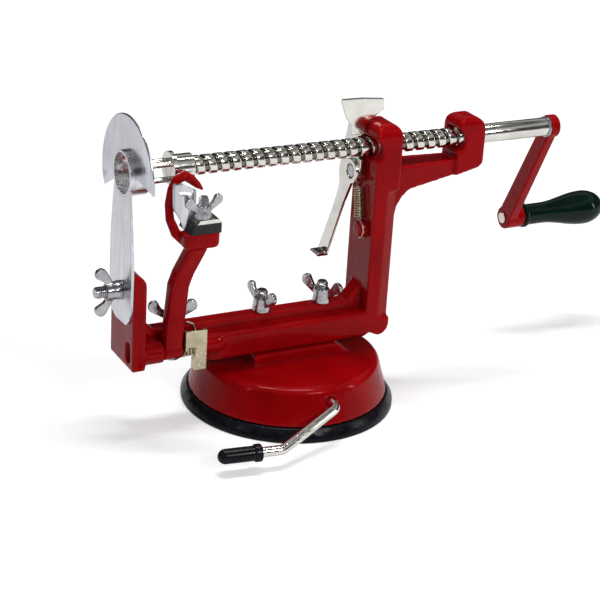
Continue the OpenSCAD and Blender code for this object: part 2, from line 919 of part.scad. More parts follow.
// Half tube, open towards +Y and cut to the leaf, with a foot below and a
// slot across it.
module peeler_blade() {
  color("gainsboro")
    difference() {
      intersection() {
        translate([gouge_x, gouge_y, head_z]) cylinder(r = gouge_r, h = 30);
        xz_plate(gouge_y - gouge_r - 1, gouge_y) polygon(blade_leaf());
      }
      translate([gouge_x, gouge_y, head_z - 1]) cylinder(r = gouge_r - strip_t, h = 32);
      // cutting slot
      xz_plate(gouge_y - gouge_r - 2, gouge_y - 0.4)
        polygon(concat(
          arc([gouge_x - 1.6, head_z + 15.2], 4.6, 35, 130, 6),
          arc([gouge_x - 1.6, head_z + 15.2], 2.9, 125, 40, 6)
        ));
    }
}

module clamp_plate() {
  z = head_z + holder_t;
  left = screw_arm_x - clamp_left;
  right = screw_arm_x + holder_right;
  color("gainsboro")
    difference() {
      xz_plate(screw_arm_y - holder_front, screw_arm_y + holder_back)
        polygon([
          [left, z], [right, z], [right - 1.4, z + clamp_t], [left + 1.4, z + clamp_t]
        ]);
      translate([screw_arm_x, screw_arm_y, z - 1])
        cylinder(d = clamp_d + 2 * bolt_fit, h = clamp_t + 2);
    }
}

module clamp_stud() {
  color("silver")
    translate([screw_arm_x, screw_arm_y, head_z - stud_in])
      cylinder(d = clamp_d, h = stud_in + holder_t + clamp_t + 10.5);
}

module clamp_wing_nut() {
  color("silver")
    translate([screw_arm_x, screw_arm_y, head_z + holder_t + clamp_t])
      rotate([0, 0, 8])
        wing_nut(clamp_d);
}

// ================= release lever =================

// Sheet outline of the lever in Y and Z: broad plate, throat round the screw
// and tail.
module lever_sheet() {
  tail = [rel_y + 27, rel_z - 54];
  mouth = screw_r + 0.5;
  difference() {
    union() {
      translate([rel_y, rel_z]) circle(r = eye_r);
      polygon([
        [rel_y - 6.2, rel_z + 1.5], [rel_y, rel_z - 6], [rel_y + 12, rel_z - 9],
        [rel_y + 15, rel_z - 4], [throat_back + 4, axis_h - 8],
        [throat_back, axis_h + 8], [7.5, paddle_low], [paddle_y, paddle_low],
        [paddle_y, axis_h], [-2, axis_h]
      ]);
      polygon([
        [rel_y + 1.2, rel_z - 6.2], [rel_y + 8.7, rel_z - 21], tail - [4.4, 0],
        tail + [4.2, 1.5], [rel_y + 18, rel_z - 24], [rel_y + 13.6, rel_z - 12],
        [rel_y + 15, rel_z - 4]
      ]);
    }
    translate([0, axis_h]) circle(r = mouth);
    // mouth of the throat, its lower lip sloped so that the lever can swing
    polygon([
      [-12, axis_h - mouth - 4], [1, axis_h - mouth - 0.4],
      [1, axis_h + mouth], [-12, axis_h + mouth]
    ]);
    translate([rel_y, rel_z]) circle(r = rel_pin_r + run_fit);
  }
  // tooth that stands in the thread groove
  translate([0, axis_h])
    polygon([
      [screw_r + 0.8, -1.2], [screw_r - 0.35, -0.8], [screw_r - 0.35, 0.8], [screw_r + 0.8, 1.2]
    ]);
}

// Raised ring round the head of the pivot screw.
module lever_eye() {
  difference() {
    x_cyl(rel_x - rel_t / 2 - eye_t, rel_x - rel_t / 2 + eps, eye_r, rel_y, rel_z);
    x_cyl(rel_x - rel_t / 2 - eye_t - 1, rel_x - rel_t / 2 + eps, eye_in_r, rel_y, rel_z);
  }
}

module release_lever() {
  color("gainsboro") {
    yz_plate(rel_x - rel_t / 2, rel_x + rel_t / 2) lever_sheet();
    lever_eye();
    // thumb paddle, a fan that stands across the sheet
    xz_plate(paddle_y, paddle_y + rel_t)
      polygon([
        [rel_x - 5.5, paddle_low - 7], [rel_x + 2.4, paddle_low - 7],
        [rel_x + 2.4, paddle_low - 1.4], [rel_x + paddle_w / 2, paddle_high - 6.4],
        [rel_x + paddle_w / 2 - 0.6, paddle_high - 0.9], [rel_x, paddle_high + 0.3],
        [rel_x - paddle_w / 2 + 0.6, paddle_high + 0.5],
        [rel_x - paddle_w / 2 + 0.6, paddle_high - 1.4],
        [rel_x - paddle_w / 2 + 3.6, paddle_high - 9.6], [rel_x - 5.5, paddle_low - 2]
      ]);
    // finger tab at the foot of the tail
    xz_plate(rel_y + 22.6, rel_y + 31)
      polygon(concat(
        [[rel_x + rel_t / 2, rel_z - 53], [rel_x + rel_t / 2, rel_z - 55]],
        arc([rel_x - 5, rel_z - 54], 1, 270, 90, 4)
      ));
  }
}

module release_pivot_screw() {
  back = rel_x - rel_t / 2 - 0.3;
  color("silver") {
    x_cyl(back - rel_head_t, back, rel_head_r, rel_y, rel_z);
    x_cyl(back - 0.1, tower_x + 8, rel_pin_r, rel_y, rel_z);
  }
}

// Close coil between two points, hooked on the lever and on the peg, with
// straight ends one wire thickness long.
function release_spring_path() =
  let (
    n = 8 * release_turns,
    x = tower_x - release_coil_r - release_wire / 2 - soft_gap,
    top = [x, 1, rel_z - eye_r - release_wire - 0.4],
    low = [x, -1.4, peg_z + peg_r + soft_gap + 1],
    step = (top - low) / n,
    coil = [
      for (i = [0 : n])
        low + step * i + release_coil_r * [cos(45 * i), sin(45 * i), 0]
    ]
  )
  concat([coil[0] - [0, release_wire, 0]], coil, [coil[n] + [0, release_wire, 0]]);

module release_spring() {
  path = release_spring_path();
  echo("least gap of the release spring to itself, mm", self_gap(path, release_wire));
  color("silver") wire(path, release_wire);
}

// ================= feed screw and crank =================

// Rings of the thread ridge, phased so that a groove stands at the lever's tooth.
function thread_rings() =
  let (
    step = 24,
    phase = (rel_x - pitch / 2) / pitch,
    first = ceil((thread_left + thread_root / 2) / pitch - phase),
    last = floor((thread_right - thread_root / 2) / pitch - phase),
    n = (last - first) * 360 / step
  )
  [
    for (i = [0 : n])
      let (
        a = i * step,
        x = (first + phase) * pitch + pitch * a / 360,
        grow = min(1, i / 6, (n - i) / 6),
        top = core_r + thread_depth * (0.15 + 0.85 * grow)
      )
      [
        [x - thread_root / 2, (core_r - 0.2) * cos(a), (core_r - 0.2) * sin(a)],
        [x - thread_crest / 2, top * cos(a), top * sin(a)],
        [x + thread_crest / 2, top * cos(a), top * sin(a)],
        [x + thread_root / 2, (core_r - 0.2) * cos(a), (core_r - 0.2) * sin(a)]
      ]
  ];

module screw_shaft() {
  color("silver")
    translate([0, 0, axis_h]) {
      x_cyl(fork_left + fork_flange_t, thread_right + 1, core_r);
      x_cyl(thread_right, crank_x, screw_r);
      x_cyl(crank_x - eps, crank_x + crank_t + 0.6, end_r);
      sweep(thread_rings());
    }
}

module drive_fork() {
  color("silver")
    translate([0, 0, axis_h]) {
      difference() {
        union() {
          x_cyl(fork_left, fork_left + fork_flange_t, fork_flange_r);
          x_cyl(fork_left, fork_right, fork_hub_r);
        }
        x_cyl(fork_left + fork_flange_t, fork_right + 1, core_r + 0.02);
      }
      for (k = [0 : prongs - 1])
        rotate([k * 360 / prongs + 20, 0, 0]) {
          x_cyl(fork_left - prong_l + 6, fork_left + 0.5, prong_r, prong_circle);
          x_cyl(fork_left - prong_l, fork_left - prong_l + 6, 0.25, prong_circle, 0, prong_r);
        }
    }
}

module thrust_washer() {
  color("silver")
    difference() {
      x_cyl(crank_x - washer_t, crank_x - 0.02, washer_r, 0, axis_h);
      x_cyl(crank_x - washer_t - 1, crank_x + 1, screw_r + run_fit, 0, axis_h);
    }
}

module crank_arm() {
  side = [cos(crank_angle), sin(crank_angle)] / 2;
  a = [0, axis_h];
  b = [grip_y, grip_z];
  color("crimson")
    difference() {
      union() {
        x_cyl(crank_x, crank_x + crank_t, crank_hub_r, 0, axis_h);
        x_cyl(crank_x, crank_x + crank_boss_l, crank_boss_r, grip_y, grip_z);
        yz_plate(crank_x, crank_x + crank_t)
          polygon([
            a + side * crank_bar_hub_w, a - side * crank_bar_hub_w,
            b - side * crank_bar_w, b + side * crank_bar_w
          ]);
      }
      x_cyl(crank_x - 1, crank_x + crank_t + 1, end_r + 0.02, 0, axis_h);
      x_cyl(crank_x - 1, crank_x + crank_boss_l + 1, pin_r + 0.02, grip_y, grip_z);
    }
}

module grip_pin() {
  color("silver")
    translate([0, grip_y, grip_z]) {
      x_cyl(crank_x - pin_head_t, crank_x, pin_head_r);
      x_cyl(crank_x - 0.1, grip_x + grip_l - 8, pin_r);
    }
}

// Radius of the grip at a share of its length: neck, swell and round end.
function grip_radius(s) =
  let (neck = 5.8, swell = grip_d / 2, wide = 0.76, slim = 0.24)
  s > wide
    ? swell * sqrt(max(0, 1 - pow((s - wide) / (1 - wide), 2.2)))
    : neck + (swell - neck) * (0.5 - 0.5 * cos(180 * max(0, s - slim) / (wide - slim)));

module crank_grip() {
  steps = 22;
  color("darkslategray")
    translate([grip_x, grip_y, grip_z])
      rotate([0, 90, 0])
        difference() {
          union() {
            rotate_extrude()
              polygon(concat(
                [[0, 2]],
                [for (i = [0 : steps - 1]) [grip_radius(i / steps), 2 + (grip_l - 2) * i / steps]],
                [[1.6, grip_l], [0, grip_l]]
              ));
            cylinder(r = 6.8, h = 2.6);
          }
          translate([0, 0, -1]) cylinder(r = pin_r + run_fit, h = grip_l - 6);
        }
}

// ================= assembly =================

suction_pad();
base_cap();
base_studs();
base_wing_nuts();
lever_rod();
lever_sleeve();
lever_cam();
suction_stem();
frame_casting();
blade_stem();
coring_ring();
slicing_disc();
blade_bolt();
blade_wing_nut();
arm_pivot_pin();
arm_spring();
arm_catch();
arm_stop_bolt();
arm_stop_wing_nut();
peeler_arm();
blade_holder();
peeler_blade();
clamp_plate();
clamp_stud();
clamp_wing_nut();
release_lever();
release_pivot_screw();
release_spring();
screw_shaft();
drive_fork();
thrust_washer();
crank_arm();
grip_pin();
crank_grip();
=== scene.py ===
import bpy
import bmesh
import json
import math
from mathutils import Matrix, Vector


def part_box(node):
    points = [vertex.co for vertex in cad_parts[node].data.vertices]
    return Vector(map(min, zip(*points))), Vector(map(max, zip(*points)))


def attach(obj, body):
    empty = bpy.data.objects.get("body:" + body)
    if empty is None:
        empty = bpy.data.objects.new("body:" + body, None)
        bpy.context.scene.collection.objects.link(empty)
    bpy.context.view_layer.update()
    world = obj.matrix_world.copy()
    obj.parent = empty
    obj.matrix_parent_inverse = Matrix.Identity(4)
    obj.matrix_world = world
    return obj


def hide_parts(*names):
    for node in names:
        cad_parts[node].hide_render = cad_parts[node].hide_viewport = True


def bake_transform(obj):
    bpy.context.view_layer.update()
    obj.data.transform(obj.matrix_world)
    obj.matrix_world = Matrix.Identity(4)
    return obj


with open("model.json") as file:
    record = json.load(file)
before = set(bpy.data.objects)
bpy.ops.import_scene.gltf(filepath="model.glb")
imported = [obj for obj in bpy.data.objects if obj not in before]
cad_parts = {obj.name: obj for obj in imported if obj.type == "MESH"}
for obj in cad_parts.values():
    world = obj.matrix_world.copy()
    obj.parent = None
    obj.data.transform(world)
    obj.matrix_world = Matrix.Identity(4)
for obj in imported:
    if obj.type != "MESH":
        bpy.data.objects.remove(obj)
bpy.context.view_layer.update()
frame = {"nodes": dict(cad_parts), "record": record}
nodes = frame["nodes"]
record = frame["record"]
scene = bpy.context.scene
scene.view_settings.view_transform = "Standard"

MM = 0.001
SLOT_OF = {part["node"]: part["material_slot"] for part in record["subparts"]}
BODY_OF = {node: body for body, held in record["behaviour"]["bodies"].items() for node in held}
JOINTS = {joint["name"]: joint for joint in record["behaviour"]["joints"]}

# Axes in millimetres, read from the joints, so that new pieces follow the frame.
SCREW_Z = JOINTS["crank_turn"]["pos_m"][2] / MM
GRIP_Y = JOINTS["grip_spin"]["pos_m"][1] / MM
GRIP_Z = JOINTS["grip_spin"]["pos_m"][2] / MM

# The feed screw's thread, in millimetres.
PITCH = 6.35
CORE_R = 3.9
CREST_R = 4.9
SHANK_LEFT = 88.4

# Studs and bolts, in millimetres.
STUD_R = 3
HEAD_R = 5.5
HEAD_T = 3
THREAD_DEPTH = 0.45
STUD_ABOVE_RIB = 11.5
THREAD_ABOVE_RIB = 4

# Where the lamps aim, in metres.
CENTRE = (0.0, 0.0, 0.07)

# The studio's grey by height: share of the way from straight down to straight up, brightness.
STUDIO_BANDS = (
    (0.49, 0.45), (0.54, 0.04), (0.74, 0.03),
    (0.80, 0.40), (0.88, 0.42), (0.94, 0.06))


def low(node):
    """Lowest corner of a CAD node, in millimetres."""
    return Vector(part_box(node)[0]) / MM


def high(node):
    """Highest corner of a CAD node, in millimetres."""
    return Vector(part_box(node)[1]) / MM


# ---------------------------------------------------------------- camera and stage

def add_camera():
    """The camera stands where the photograph was taken, with its slight roll."""
    place = Vector((-0.3927, -0.7358, 0.4131))
    aim = Vector((0.00473, -0.00006, 0.05212))
    roll = math.radians(3.526)
    ahead = (aim - place).normalized()
    level = ahead.cross(Vector((0, 0, 1))).normalized()
    upright = level.cross(ahead)
    right = level * math.cos(roll) + upright * math.sin(roll)
    up = upright * math.cos(roll) - level * math.sin(roll)
    data = bpy.data.cameras.new("camera")
    data.lens = 107.82
    data.sensor_width = 36
    data.clip_start = 0.05
    data.clip_end = 20
    camera = bpy.data.objects.new("camera", data)
    camera.matrix_world = Matrix((
        (right.x, up.x, -ahead.x, place.x),
        (right.y, up.y, -ahead.y, place.y),
        (right.z, up.z, -ahead.z, place.z),
        (0, 0, 0, 1)))
    scene.collection.objects.link(camera)
    scene.camera = camera


def add_softbox(name, place, width, height, power, colour=(1, 1, 1)):
    """A rectangular lamp that faces the object. Sizes in metres, power in watts."""
    data = bpy.data.lights.new(name, "AREA")
    data.shape = "RECTANGLE"
    data.size = width
    data.size_y = height
    data.energy = power
    data.color = colour
    lamp = bpy.data.objects.new(name, data)
    lamp.location = place
    lamp.rotation_euler = (Vector(CENTRE) - Vector(place)).to_track_quat("-Z", "Y").to_euler()
    scene.collection.objects.link(lamp)


def add_world():
    """White behind the object. Other rays see a studio: dark walls, a pale band above them."""
    world = bpy.data.worlds.new("studio")
    scene.world = world
    world.use_nodes = True
    tree = world.node_tree
    tree.nodes.clear()
    output = tree.nodes.new("ShaderNodeOutputWorld")
    place = tree.nodes.new("ShaderNodeTexCoord")
    split = tree.nodes.new("ShaderNodeSeparateXYZ")
    rise = tree.nodes.new("ShaderNodeValToRGB")
    rise.color_ramp.elements[0].position = 0.42
    rise.color_ramp.elements[0].color = (0.50, 0.50, 0.53, 1)
    rise.color_ramp.elements[1].position = 1.0
    rise.color_ramp.elements[1].color = (0.30, 0.30, 0.31, 1)
    for position, grey in STUDIO_BANDS:
        stop = rise.color_ramp.elements.new(position)
        stop.color = (grey, grey, grey * 1.04, 1)
    scale = tree.nodes.new("ShaderNodeMapRange")
    scale.inputs["From Min"].default_value = -1
    studio = tree.nodes.new("ShaderNodeBackground")
    studio.inputs["Strength"].default_value = 1.0
    backdrop = tree.nodes.new("ShaderNodeBackground")
    backdrop.inputs["Color"].default_value = (1, 1, 1, 1)
    ray = tree.nodes.new("ShaderNodeLightPath")
    choose = tree.nodes.new("ShaderNodeMixShader")
    link = tree.links.new
    link(place.outputs["Generated"], split.inputs[0])
    link(split.outputs["Z"], scale.inputs["Value"])
    link(scale.outputs["Result"], rise.inputs[0])
    link(rise.outputs["Color"], studio.inputs["Color"])
    link(ray.outputs["Is Camera Ray"], choose.inputs[0])
    link(studio.outputs[0], choose.inputs[1])
    link(backdrop.outputs[0], choose.inputs[2])
    link(choose.outputs[0], output.inputs["Surface"])


def floor_white():
    """Matt white with a glow, so that the camera sees it white but for the object's shadow."""
    glossy_share = 0.3
    material = bpy.data.materials.new("floor_white")
    material.use_nodes = True
    tree = material.node_tree
    tree.nodes.clear()
    output = tree.nodes.new("ShaderNodeOutputMaterial")
    matt = tree.nodes.new("ShaderNodeBsdfDiffuse")
    matt.inputs["Color"].default_value = (0.86, 0.86, 0.86, 1)
    # The glow makes up for what the lamps lack: little near the object, more far away.
    # Polished pieces see a weaker and cooler glow than the camera does.
    glow = tree.nodes.new("ShaderNodeEmission")
    place = tree.nodes.new("ShaderNodeTexCoord")
    distance = tree.nodes.new("ShaderNodeVectorMath")
    distance.operation = "LENGTH"
    lack = tree.nodes.new("ShaderNodeMapRange")
    lack.interpolation_type = "SMOOTHSTEP"
    lack.inputs["From Min"].default_value = 0.1
    lack.inputs["From Max"].default_value = 1.4
    lack.inputs["To Min"].default_value = 0.36
    lack.inputs["To Max"].default_value = 0.88
    ray = tree.nodes.new("ShaderNodeLightPath")
    seen = tree.nodes.new("ShaderNodeMath")
    seen.operation = "MULTIPLY_ADD"
    seen.inputs[1].default_value = glossy_share
    strength = tree.nodes.new("ShaderNodeMath")
    strength.operation = "MULTIPLY"
    tint = tree.nodes.new("ShaderNodeMix")
    tint.data_type = "RGBA"
    tint.inputs["A"].default_value = (1, 1, 1, 1)
    tint.inputs["B"].default_value = (0.90, 0.82, 1.0, 1)
    total = tree.nodes.new("ShaderNodeAddShader")
    link = tree.links.new
    link(place.outputs["Object"], distance.inputs[0])
    link(distance.outputs["Value"], lack.inputs["Value"])
    link(ray.outputs["Is Glossy Ray"], seen.inputs[0])
    link(ray.outputs["Is Camera Ray"], seen.inputs[2])
    link(lack.outputs["Result"], strength.inputs[0])
    link(seen.outputs[0], strength.inputs[1])
    link(ray.outputs["Is Glossy Ray"], tint.inputs["Factor"])
    link(strength.outputs[0], glow.inputs["Strength"])
    link(tint.outputs["Result"], glow.inputs["Color"])
    link(matt.outputs[0], total.inputs[0])
    link(glow.outputs[0], total.inputs[1])
    link(total.outputs[0], output.inputs["Surface"])
    return material


def add_floor():
    """A wide flat floor under the object."""
    mesh = bmesh.new()
    bmesh.ops.create_grid(mesh, x_segments=1, y_segments=1, size=4)
    data = bpy.data.meshes.new("floor")
    mesh.to_mesh(data)
    mesh.free()
    floor = bpy.data.objects.new("floor", data)
    scene.collection.objects.link(floor)
    data.materials.append(floor_white())


def add_lights():
    """A key lamp in front, a long one overhead, and a narrow strip on each side."""
    add_softbox("key", (0.2, -1.1, 0.75), 0.32, 0.16, 5.3)
    add_softbox("left_strip", (-1.1, -0.3, 0.5), 0.08, 0.5, 0.7, (0.80, 0.84, 1.0))
    add_softbox("right_strip", (1.1, -0.7, 0.4), 0.08, 0.5, 1.8)
    add_softbox("overhead", (0.05, 0.1, 1.1), 0.6, 0.07, 6.4)


# ---------------------------------------------------------------- materials

class Finish:
    """A Principled material and the few nodes that its detail is made of."""

    def __init__(self, name, colour, metallic, roughness):
        self.material = bpy.data.materials.new(name)
        self.material.use_nodes = True
        self.tree = self.material.node_tree
        self.shader = self.tree.nodes["Principled BSDF"]
        self.shader.inputs["Base Color"].default_value = (*colour, 1)
        self.shader.inputs["Metallic"].default_value = metallic
        self.shader.inputs["Roughness"].default_value = roughness
        self.place = self.tree.nodes.new("ShaderNodeTexCoord").outputs["Object"]
        self.height = None

    def link(self, source, target):
        """Joins an output to an input."""
        self.tree.links.new(source, target)

    def stretched(self, scale):
        """Object coordinates, stretched by the scale."""
        mapping = self.tree.nodes.new("ShaderNodeMapping")
        mapping.inputs["Scale"].default_value = scale
        self.link(self.place, mapping.inputs["Vector"])
        return mapping.outputs[0]

    def noise(self, scale, detail=3, rough=0.5, stretch=None):
        """Noise; the scale is in grains for each metre."""
        node = self.tree.nodes.new("ShaderNodeTexNoise")
        node.inputs["Scale"].default_value = scale
        node.inputs["Detail"].default_value = detail
        node.inputs["Roughness"].default_value = rough
        self.link(self.stretched(stretch) if stretch else self.place, node.inputs["Vector"])
        return node.outputs["Fac"]

    def spread(self, value, low_in, high_in, low_out, high_out):
        """Maps a range of a value to another."""
        node = self.tree.nodes.new("ShaderNodeMapRange")
        node.inputs["From Min"].default_value = low_in
        node.inputs["From Max"].default_value = high_in
        node.inputs["To Min"].default_value = low_out
        node.inputs["To Max"].default_value = high_out
        self.link(value, node.inputs["Value"])
        return node.outputs["Result"]

    def mix(self, factor, first, second):
        """Colour between two colours or outputs."""
        node = self.tree.nodes.new("ShaderNodeMix")
        node.data_type = "RGBA"
        self.link(factor, node.inputs["Factor"])
        for socket, colour in ((node.inputs["A"], first), (node.inputs["B"], second)):
            if isinstance(colour, tuple):
                socket.default_value = (*colour, 1)
            else:
                self.link(colour, socket)
        return node.outputs["Result"]

    def bump(self, value, distance):
        """Adds a layer of relief, its depth in metres."""
        node = self.tree.nodes.new("ShaderNodeBump")
        node.inputs["Distance"].default_value = distance
        node.inputs["Strength"].default_value = 1
        self.link(value, node.inputs["Height"])
        if self.height:
            self.link(self.height, node.inputs["Normal"])
        self.height = node.outputs["Normal"]
        self.link(self.height, self.shader.inputs["Normal"])

    def edges(self, low_in, high_in):
        """How pointed a place is: pointed edges high, hollows low. The materials paint highlight
        and shade with it, and the black coat's rubbed edges.
        """
        node = self.tree.nodes.new("ShaderNodeNewGeometry")
        return self.spread(node.outputs["Pointiness"], low_in, high_in, 0, 1)

    def colour(self, output):
        """Takes the base colour from an output."""
        self.link(output, self.shader.inputs["Base Color"])

    def roughness(self, output):
        """Takes the roughness from an output."""
        self.link(output, self.shader.inputs["Roughness"])


def red_enamel():
    """Thick glossy enamel on a sand casting: painted shade in hollows over the pooled enamel, a
    painted highlight on edges over the thin enamel.
    """
    finish = Finish("red_enamel", (0.30, 0.0015, 0.003), 0, 0.16)
    finish.shader.inputs["Specular IOR Level"].default_value = 0.13
    finish.shader.inputs["Specular Tint"].default_value = (1.0, 0.12, 0.16, 1)
    finish.shader.inputs["Coat Weight"].default_value = 0.10
    finish.shader.inputs["Coat Roughness"].default_value = 0.03
    cloud = finish.spread(finish.noise(55, 4), 0.35, 0.7, 0, 1)
    body = finish.mix(cloud, (0.33, 0.0015, 0.003), (0.24, 0.0010, 0.002))
    # Painted light from pointiness: edges lightened as a painted highlight, where the enamel also
    # runs thin; hollows darkened nearly to black as painted shade, where it also pools.
    edge = finish.edges(0.50, 0.60)
    hollow_shade = finish.edges(0.50, 0.42)
    with_edge_highlight = finish.mix(edge, body, (0.44, 0.004, 0.006))
    finish.colour(finish.mix(hollow_shade, with_edge_highlight, (0.07, 0.0004, 0.0015)))
    finish.roughness(finish.spread(finish.noise(160, 3), 0.3, 0.7, 0.12, 0.24))
    finish.bump(finish.noise(110, 2), 0.00035)
    finish.bump(finish.noise(520, 3), 0.00006)
    finish.bump(finish.noise(2400, 2), 0.00001)
    return finish.material


def plated(name, colour, shade, rough, grain, waviness):
    """Bright plating: fine scratches along the part, faint clouding, painted shade in hollows."""
    finish = Finish(name, colour, 1, rough)
    cloud = finish.spread(finish.noise(140, 4), 0.3, 0.72, 0, 1)
    body = finish.mix(cloud, colour, shade)
    # Painted shade: hollows darkened nearly to black.
    finish.colour(finish.mix(finish.edges(0.49, 0.38), body, tuple(part * 0.12 for part in shade)))
    streaks = finish.noise(900, 2, 0.6, grain)
    finish.roughness(finish.spread(streaks, 0.3, 0.7, rough * 0.7, rough * 1.7))
    finish.bump(finish.noise(260, 2), waviness)
    finish.bump(streaks, 0.000006)
    return finish.material


def chrome():
    """Bright, slightly warm plating, brushed along the screw."""
    return plated("chrome", (0.84, 0.83, 0.76), (0.70, 0.69, 0.62), 0.11, (0.15, 1, 1), 0.00002)


def chrome_with_groove_shade():
    """The feed screw's chrome, with painted shade darkening the groove of its thread."""
    material = chrome()
    material.name = "chrome_thread"
    tree = material.node_tree
    shader = tree.nodes["Principled BSDF"]
    place = tree.nodes.new("ShaderNodeTexCoord")
    centre = tree.nodes.new("ShaderNodeMapping")
    centre.inputs["Location"].default_value = (0, 0, -SCREW_Z * MM)
    flat = tree.nodes.new("ShaderNodeVectorMath")
    flat.operation = "MULTIPLY"
    flat.inputs[1].default_value = (0, 1, 1)
    radius = tree.nodes.new("ShaderNodeVectorMath")
    radius.operation = "LENGTH"
    # Painted shade: the groove floor of the thread is darkened, by its distance from the screw's
    # axis.
    depth = tree.nodes.new("ShaderNodeMapRange")
    depth.inputs["From Min"].default_value = (CORE_R + 0.15) * MM
    depth.inputs["From Max"].default_value = (CREST_R - 0.1) * MM
    groove_shade = tree.nodes.new("ShaderNodeMix")
    groove_shade.data_type = "RGBA"
    groove_shade.inputs["A"].default_value = (0.20, 0.185, 0.14, 1)
    plain = shader.inputs["Base Color"].links[0].from_socket
    link = tree.links.new
    link(place.outputs["Object"], centre.inputs["Vector"])
    link(centre.outputs[0], flat.inputs[0])
    link(flat.outputs["Vector"], radius.inputs[0])
    link(radius.outputs["Value"], depth.inputs["Value"])
    link(depth.outputs["Result"], groove_shade.inputs["Factor"])
    link(plain, groove_shade.inputs["B"])
    link(groove_shade.outputs["Result"], shader.inputs["Base Color"])
    return material


def zinc():
    """Yellow passivated zinc."""
    return plated("zinc", (0.66, 0.60, 0.42), (0.50, 0.45, 0.30), 0.26, (1, 1, 0.3), 0.00004)


def nut_steel():
    """Cast and nickel plated nuts and bolts, with a pebbled skin and painted shade in hollows."""
    finish = Finish("nut_steel", (0.62, 0.60, 0.57), 1, 0.2)
    cloud = finish.spread(finish.noise(420, 3), 0.35, 0.7, 0, 1)
    body = finish.mix(cloud, (0.54, 0.53, 0.54), (0.36, 0.35, 0.36))
    # Painted shade: hollows darkened nearly to black.
    finish.colour(finish.mix(finish.edges(0.5, 0.40), body, (0.04, 0.04, 0.04)))
    finish.roughness(finish.spread(finish.noise(700, 2), 0.3, 0.7, 0.10, 0.24))
    finish.bump(finish.noise(300, 2), 0.00030)
    finish.bump(finish.noise(1500, 2), 0.00003)
    return finish.material


def blade_steel():
    """Rolled stainless strip with its grinding lines."""
    finish = Finish("blade_steel", (0.80, 0.81, 0.83), 1, 0.2)
    lines = finish.noise(1100, 3, 0.6, (1, 1, 0.04))
    cloud = finish.spread(finish.noise(70, 3), 0.3, 0.7, 0, 1)
    body = finish.mix(cloud, (0.84, 0.85, 0.87), (0.68, 0.69, 0.72))
    finish.colour(finish.mix(finish.spread(lines, 0.35, 0.75, 0, 0.6), body, (0.55, 0.56, 0.58)))
    finish.roughness(finish.spread(lines, 0.3, 0.7, 0.14, 0.34))
    finish.bump(lines, 0.00002)
    finish.bump(finish.noise(45, 2), 0.0002)
    return finish.material


def rubber():
    """Black moulded rubber with a faint dusty bloom."""
    finish = Finish("rubber", (0.010, 0.010, 0.014), 0, 0.34)
    finish.shader.inputs["Specular IOR Level"].default_value = 0.14
    cloud = finish.spread(finish.noise(90, 5), 0.4, 0.75, 0, 1)
    finish.colour(finish.mix(cloud, (0.004, 0.004, 0.006), (0.010, 0.010, 0.014)))
    finish.roughness(finish.spread(finish.noise(240, 4), 0.3, 0.7, 0.16, 0.36))
    finish.bump(finish.noise(1800, 3), 0.00003)
    finish.bump(finish.noise(200, 2), 0.00008)
    return finish.material


def black_coat():
    """Black lacquer on a pressed block, rubbed bright along its edges."""
    finish = Finish("black_coat", (0.010, 0.010, 0.011), 0, 0.25)
    finish.shader.inputs["Specular IOR Level"].default_value = 0.10
    cloud = finish.spread(finish.noise(300, 4), 0.4, 0.7, 0, 1)
    body = finish.mix(cloud, (0.003, 0.003, 0.004), (0.008, 0.008, 0.009))
    finish.colour(finish.mix(finish.edges(0.52, 0.64), body, (0.09, 0.09, 0.09)))
    finish.roughness(finish.spread(finish.noise(500, 3), 0.3, 0.7, 0.18, 0.38))
    finish.bump(finish.noise(900, 3), 0.00003)
    return finish.material


def grip_plastic():
    """Dark bottle-green plastic, polished, with faint flow marks along it."""
    finish = Finish("grip", (0.004, 0.022, 0.014), 0, 0.12)
    finish.shader.inputs["Specular IOR Level"].default_value = 0.06
    finish.shader.inputs["Coat Weight"].default_value = 0.26
    finish.shader.inputs["Coat Roughness"].default_value = 0.05
    flow = finish.noise(160, 4, 0.6, (0.12, 1, 1))
    finish.colour(finish.mix(finish.spread(flow, 0.35, 0.7, 0, 1),
                             (0.001, 0.007, 0.004), (0.002, 0.015, 0.009)))
    finish.roughness(finish.spread(finish.noise(420, 3), 0.3, 0.7, 0.08, 0.20))
    finish.bump(finish.noise(700, 2), 0.00001)
    return finish.material


def make_materials():
    """Each material by the slot or finish that asks for it."""
    return {
        "red_enamel": red_enamel(),
        "chrome": chrome(),
        "chrome_thread": chrome_with_groove_shade(),
        "zinc": zinc(),
        "nut_steel": nut_steel(),
        "blade_steel": blade_steel(),
        "rubber": rubber(),
        "black_coat": black_coat(),
        "grip": grip_plastic(),
    }


# ---------------------------------------------------------------- making pieces

def make_piece(mesh, name, node, finish=None):
    """Turns a bmesh into a piece that stands for a CAD node."""
    data = bpy.data.meshes.new(name)
    mesh.to_mesh(data)
    mesh.free()
    data.polygons.foreach_set("use_smooth", [True] * len(data.polygons))
    data.materials.append(materials[finish or SLOT_OF[node]])
    piece = bpy.data.objects.new(name, data)
    scene.collection.objects.link(piece)
    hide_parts(node)
    return piece


def add_piece(mesh, name, node, finish=None):
    """Makes a piece that rides on the body of the CAD node it stands for."""
    piece = make_piece(mesh, name, node, finish)
    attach(piece, BODY_OF[node])
    return piece


def merged_copy(node):
    """A CAD node's triangles, merged."""
    mesh = bmesh.new()
    mesh.from_mesh(nodes[node].data)
    bmesh.ops.remove_doubles(mesh, verts=mesh.verts, dist=0.002 * MM)
    return mesh


def keep_modifiers(piece):
    """Puts what the modifiers make into the piece's own mesh."""
    graph = bpy.context.evaluated_depsgraph_get()
    data = bpy.data.meshes.new_from_object(piece.evaluated_get(graph))
    piece.modifiers.clear()
    piece.data = data
    data.polygons.foreach_set("use_smooth", [True] * len(data.polygons))


